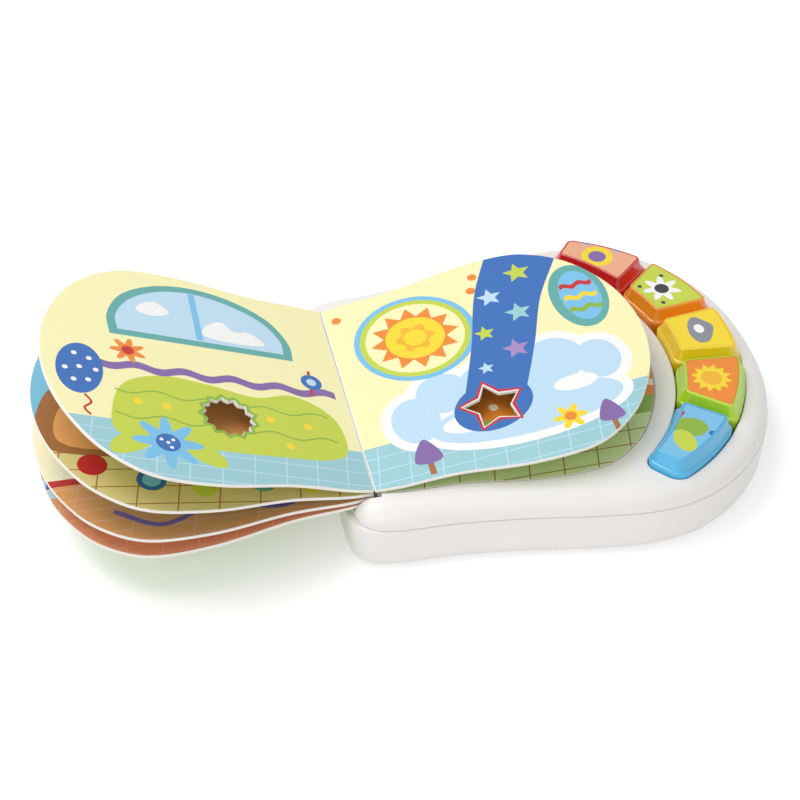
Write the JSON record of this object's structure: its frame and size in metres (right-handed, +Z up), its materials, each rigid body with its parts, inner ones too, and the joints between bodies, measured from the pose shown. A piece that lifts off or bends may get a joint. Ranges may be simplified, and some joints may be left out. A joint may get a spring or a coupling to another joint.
{
  "type": "interactive book",
  "caption": "Open board book with die-cut leaves hinged on a shallow plastic base that carries a crescent of sound buttons.",
  "frame": {"origin": "middle of the base's flat underside, on the table", "axes": "+X from the turned leaves towards the buttons, +Y along the spine away from the reader, +Z up"},
  "size_m": [0.4301, 0.2336, 0.1133],
  "materials": {
    "shell_plastic": "satin moulded",
    "leaf_board": "glossy laminated print",
    "panel_board": "glossy laminated print",
    "binding": "bookbinding cloth",
    "cap_blue": "gloss moulded",
    "cap_green": "gloss moulded",
    "cap_yellow": "gloss moulded",
    "cap_orange": "gloss moulded",
    "cap_red": "gloss moulded",
    "label_print": "printed label",
    "silicone": "matt",
    "circuit_board": "solder mask",
    "black_plastic": "matt moulded",
    "magnet": "ferrite",
    "cone_paper": "pressed paper",
    "steel": "zinc plated",
    "cell_case": "plain sleeve",
    "knob_plastic": "moulded"
  },
  "bodies": {
    "base": {"upper_shell": "shell_plastic", "lower_shell": "shell_plastic", "battery_door": "shell_plastic", "page_panel": "panel_board", "spine_binding": "binding", "rubber_dome_blue": "silicone", "rubber_dome_green": "silicone", "rubber_dome_yellow": "silicone", "rubber_dome_orange": "silicone", "rubber_dome_red": "silicone", "button_board": "circuit_board", "main_board": "circuit_board", "sound_chip": "black_plastic", "capacitor": "black_plastic", "power_switch_body": "black_plastic", "speaker_basket": "steel", "speaker_magnet": "magnet", "speaker_cone": "cone_paper", "battery_1": "cell_case", "battery_2": "cell_case", "contact_bridge": "steel", "contact_spring": "steel", "contact_plate": "steel", "battery_door_screw": "steel", "housing_screw_1": "steel", "housing_screw_2": "steel", "housing_screw_3": "steel", "housing_screw_4": "steel", "housing_screw_5": "steel", "housing_screw_6": "steel"},
    "left_leaf_1": {"left_leaf_1": "leaf_board"},
    "left_leaf_2": {"left_leaf_2": "leaf_board"},
    "left_leaf_3": {"left_leaf_3": "leaf_board"},
    "front_cover": {"front_cover": "leaf_board"},
    "right_leaf": {"right_leaf": "leaf_board"},
    "button_blue": {"button_cap_blue": "cap_blue", "button_label_blue": "label_print"},
    "button_green": {"button_cap_green": "cap_green", "button_label_green": "label_print"},
    "button_yellow": {"button_cap_yellow": "cap_yellow", "button_label_yellow": "label_print"},
    "button_orange": {"button_cap_orange": "cap_orange", "button_label_orange": "label_print"},
    "button_red": {"button_cap_red": "cap_red", "button_label_red": "label_print"},
    "power_switch": {"power_switch_knob": "knob_plastic"}
  },
  "joints": [
    {"name": "front_cover_turn", "type": "hinge", "parent": "base", "child": "front_cover", "pos_m": [-0.117, 0, 0.045], "axis": [0, 1, 0], "range_deg": [-5.5, 174.3]},
    {"name": "left_leaf_1_turn", "type": "hinge", "parent": "base", "child": "left_leaf_1", "pos_m": [-0.117, 0, 0.045], "axis": [0, 1, 0], "range_deg": [-4.72, 149.7]},
    {"name": "left_leaf_2_turn", "type": "hinge", "parent": "base", "child": "left_leaf_2", "pos_m": [-0.117, 0, 0.045], "axis": [0, 1, 0], "range_deg": [-5.05, 160.1]},
    {"name": "left_leaf_3_turn", "type": "hinge", "parent": "base", "child": "left_leaf_3", "pos_m": [-0.117, 0, 0.045], "axis": [0, 1, 0], "range_deg": [-5.35, 169.6]},
    {"name": "right_leaf_turn", "type": "hinge", "parent": "base", "child": "right_leaf", "pos_m": [-0.117, 0, 0.045], "axis": [0, 1, 0], "range_deg": [-149.7, 7.8]},
    {"name": "button_blue_press", "type": "slide", "parent": "base", "child": "button_blue", "axis": [0, 0, -1], "range_m": [0, 0.002], "stiffness_N_per_m": 1200, "springref_m": -0.0006, "deforming": ["rubber_dome_blue"]},
    {"name": "button_green_press", "type": "slide", "parent": "base", "child": "button_green", "axis": [0, 0, -1], "range_m": [0, 0.002], "stiffness_N_per_m": 1200, "springref_m": -0.0006, "deforming": ["rubber_dome_green"]},
    {"name": "button_yellow_press", "type": "slide", "parent": "base", "child": "button_yellow", "axis": [0, 0, -1], "range_m": [0, 0.002], "stiffness_N_per_m": 1200, "springref_m": -0.0006, "deforming": ["rubber_dome_yellow"]},
    {"name": "button_orange_press", "type": "slide", "parent": "base", "child": "button_orange", "axis": [0, 0, -1], "range_m": [0, 0.002], "stiffness_N_per_m": 1200, "springref_m": -0.0006, "deforming": ["rubber_dome_orange"]},
    {"name": "button_red_press", "type": "slide", "parent": "base", "child": "button_red", "axis": [0, 0, -1], "range_m": [0, 0.002], "stiffness_N_per_m": 1200, "springref_m": -0.0006, "deforming": ["rubber_dome_red"]},
    {"name": "power_switch_slide", "type": "slide", "parent": "base", "child": "power_switch", "axis": [1, 0, 0], "range_m": [0, 0.008]}
  ],
  "couplings": [
    {"joint": "left_leaf_1_turn", "follows": "front_cover_turn", "ratio": 0.85886},
    {"joint": "left_leaf_2_turn", "follows": "front_cover_turn", "ratio": 0.91853},
    {"joint": "left_leaf_3_turn", "follows": "front_cover_turn", "ratio": 0.97303}
  ]
}
